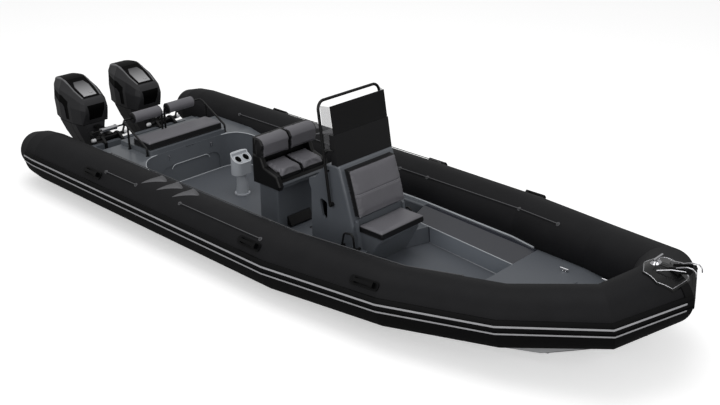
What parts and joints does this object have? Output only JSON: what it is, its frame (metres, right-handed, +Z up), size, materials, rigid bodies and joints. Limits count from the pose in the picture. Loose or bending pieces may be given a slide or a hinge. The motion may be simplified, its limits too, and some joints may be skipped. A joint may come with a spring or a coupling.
{
  "type": "rigid inflatable boat",
  "caption": "Open rigid inflatable boat with a deep-V hull, inflated side tubes, a centre console, helm and bow seats, a stern bench and outboard engines that tilt and steer.",
  "frame": {"origin": "on the centreline, at the waterline, in the plane of the transom's aft face", "axes": "+X forward to the bow, +Y to port, +Z up"},
  "size_m": [8.9786, 3.0932, 2.434],
  "materials": {
    "tube_fabric": "matt coated fabric",
    "strake_rubber": "satin rubber",
    "hull_gelcoat": "gloss gelcoat",
    "deck_gelcoat": "satin gelcoat",
    "upholstery": "marine vinyl",
    "black_plastic": "moulded",
    "black_tube": "powder coat",
    "tinted_pane": "tinted acrylic",
    "black_panel": "gloss",
    "stainless": "polished",
    "engine_black": "gloss paint",
    "engine_grey": "satin paint",
    "prop_steel": "brushed",
    "rope": "braided",
    "grip_rubber": "ribbed"
  },
  "bodies": {
    "boat": {"tube_port": "tube_fabric", "tube_starboard": "tube_fabric", "strake_port": "strake_rubber", "strake_starboard": "strake_rubber", "hull_shell": "hull_gelcoat", "transom": "deck_gelcoat", "stern_moulding": "deck_gelcoat", "cockpit_sole": "deck_gelcoat", "side_walls": "deck_gelcoat", "fore_ledges": "deck_gelcoat", "bow_deck": "deck_gelcoat", "bow_plate": "black_plastic", "bow_guard": "strake_rubber", "bow_roller": "stainless", "tube_handles": "black_plastic", "bow_handle_port": "black_plastic", "bow_handle_starboard": "black_plastic", "lifelines": "rope", "console_body": "deck_gelcoat", "console_seat_cushion": "upholstery", "console_backrest": "upholstery", "screen_band": "black_panel", "screen_glass": "tinted_pane", "console_rail": "black_tube", "throttle_box": "black_plastic", "helm_seat_base": "deck_gelcoat", "helm_footrest": "black_plastic", "helm_seat_shell": "black_plastic", "helm_cushions": "upholstery", "helm_backrests": "upholstery", "cup_pedestal": "deck_gelcoat", "bench_frame": "black_tube", "bench_bolsters": "upholstery", "engine_clamps": "engine_black", "grip_patches": "grip_rubber", "grab_hoops": "black_tube", "deck_fittings": "stainless"},
    "anchor_hatch": {"anchor_hatch": "deck_gelcoat"},
    "bench_lid": {"bench_lid": "deck_gelcoat", "bench_cushion": "upholstery"},
    "steering_wheel": {"steering_wheel": "black_plastic"},
    "port_bracket": {"engine_port_swivel": "engine_black"},
    "port_ram": {"engine_port_ram": "stainless"},
    "port_engine": {"engine_port_leg": "engine_black", "engine_port_gearcase": "engine_black", "engine_port_lower_cowl": "engine_grey", "engine_port_upper_cowl": "engine_black", "engine_port_cowl_trim": "engine_black"},
    "port_propeller": {"engine_port_propeller": "prop_steel"},
    "starboard_bracket": {"engine_starboard_swivel": "engine_black"},
    "starboard_ram": {"engine_starboard_ram": "stainless"},
    "starboard_engine": {"engine_starboard_leg": "engine_black", "engine_starboard_gearcase": "engine_black", "engine_starboard_lower_cowl": "engine_grey", "engine_starboard_upper_cowl": "engine_black", "engine_starboard_cowl_trim": "engine_black"},
    "starboard_propeller": {"engine_starboard_propeller": "prop_steel"}
  },
  "joints": [
    {"name": "anchor_hatch_hinge", "type": "hinge", "parent": "boat", "child": "anchor_hatch", "pos_m": [6.59435, 0, 0.42858], "axis": [0, -1, 0], "range_deg": [0, 100]},
    {"name": "bench_lid_hinge", "type": "hinge", "parent": "boat", "child": "bench_lid", "pos_m": [0.688, 0, 0.556], "axis": [0, -1, 0], "range_deg": [0, 45]},
    {"name": "steering_wheel_turn", "type": "hinge", "parent": "boat", "child": "steering_wheel", "pos_m": [3.7126, 0.06, 0.9518], "axis": [-0.8, 0, 0.6], "range_deg": [-720, 720]},
    {"name": "port_tilt", "type": "hinge", "parent": "boat", "child": "port_bracket", "pos_m": [-0.022, 0.43, 0.446], "axis": [0, 1, 0], "range_deg": [-6, 65]},
    {"name": "port_steer", "type": "hinge", "parent": "port_bracket", "child": "port_engine", "pos_m": [-0.175, 0.43, 0.2], "axis": [0, 0, 1], "range_deg": [-30, 30]},
    {"name": "port_ram_slide", "type": "slide", "parent": "port_bracket", "child": "port_ram", "axis": [0, 1, 0], "range_m": [-0.077, 0.077]},
    {"name": "port_propeller_turn", "type": "hinge", "parent": "port_engine", "child": "port_propeller", "pos_m": [-0.8, 0.43, -0.45], "axis": [1, 0, 0], "continuous": true},
    {"name": "starboard_tilt", "type": "hinge", "parent": "boat", "child": "starboard_bracket", "pos_m": [-0.022, -0.43, 0.446], "axis": [0, 1, 0], "range_deg": [-6, 65]},
    {"name": "starboard_steer", "type": "hinge", "parent": "starboard_bracket", "child": "starboard_engine", "pos_m": [-0.175, -0.43, 0.2], "axis": [0, 0, 1], "range_deg": [-30, 30]},
    {"name": "starboard_ram_slide", "type": "slide", "parent": "starboard_bracket", "child": "starboard_ram", "axis": [0, 1, 0], "range_m": [-0.077, 0.077]},
    {"name": "starboard_propeller_turn", "type": "hinge", "parent": "starboard_engine", "child": "starboard_propeller", "pos_m": [-0.8, -0.43, -0.45], "axis": [1, 0, 0], "continuous": true}
  ],
  "couplings": [
    {"joint": "starboard_steer", "follows": "port_steer", "ratio": 1},
    {"joint": "steering_wheel_turn", "follows": "port_steer", "ratio": 24},
    {"joint": "port_ram_slide", "follows": "port_steer", "m_per_rad": 0.145},
    {"joint": "starboard_ram_slide", "follows": "port_steer", "m_per_rad": 0.145}
  ]
}
